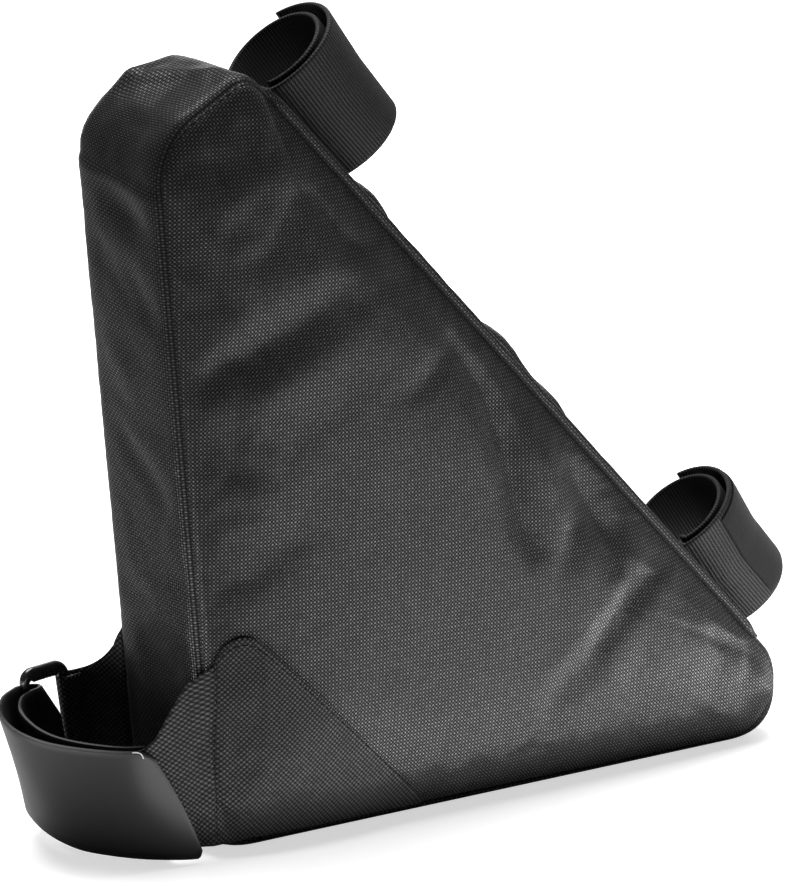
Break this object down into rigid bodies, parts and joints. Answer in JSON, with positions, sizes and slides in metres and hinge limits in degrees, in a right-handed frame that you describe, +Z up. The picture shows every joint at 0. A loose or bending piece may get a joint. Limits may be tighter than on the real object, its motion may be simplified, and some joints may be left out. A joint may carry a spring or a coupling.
{
  "type": "bicycle frame bag",
  "caption": "Triangular padded cloth bag with a rear zip, webbing loops on its slanted edge and a wrap-round strap with a ring at its lower corner.",
  "frame": {"origin": "middle of the underside of the whole part, on the surface that the bag stands on", "axes": "+Z up, +X along the bottom edge away from the upright edge, -Y out of the front panel"},
  "size_m": [0.3282, 0.08, 0.2985],
  "materials": {
    "panel_cloth": "black woven polyester, slightly coated",
    "gusset_cloth": "black woven polyester on the bias",
    "wing_cloth": "coarse black woven nylon",
    "webbing": "ribbed black webbing",
    "coated_strap": "smooth satin coated strap",
    "ring_plastic": "glossy moulded plastic",
    "zip": "coated coil zip on woven tape"
  },
  "bodies": {
    "root": {"front_panel": "panel_cloth", "rear_panel": "panel_cloth", "rear_zip": "zip", "left_gusset": "gusset_cloth", "slant_gusset": "gusset_cloth", "bottom_gusset": "gusset_cloth", "front_welt": "gusset_cloth", "rear_welt": "gusset_cloth", "upper_strap": "webbing", "lower_strap": "webbing", "front_wing": "wing_cloth", "rear_wing": "wing_cloth", "wing_strap": "coated_strap", "strap_ring": "ring_plastic"}
  },
  "joints": []
}
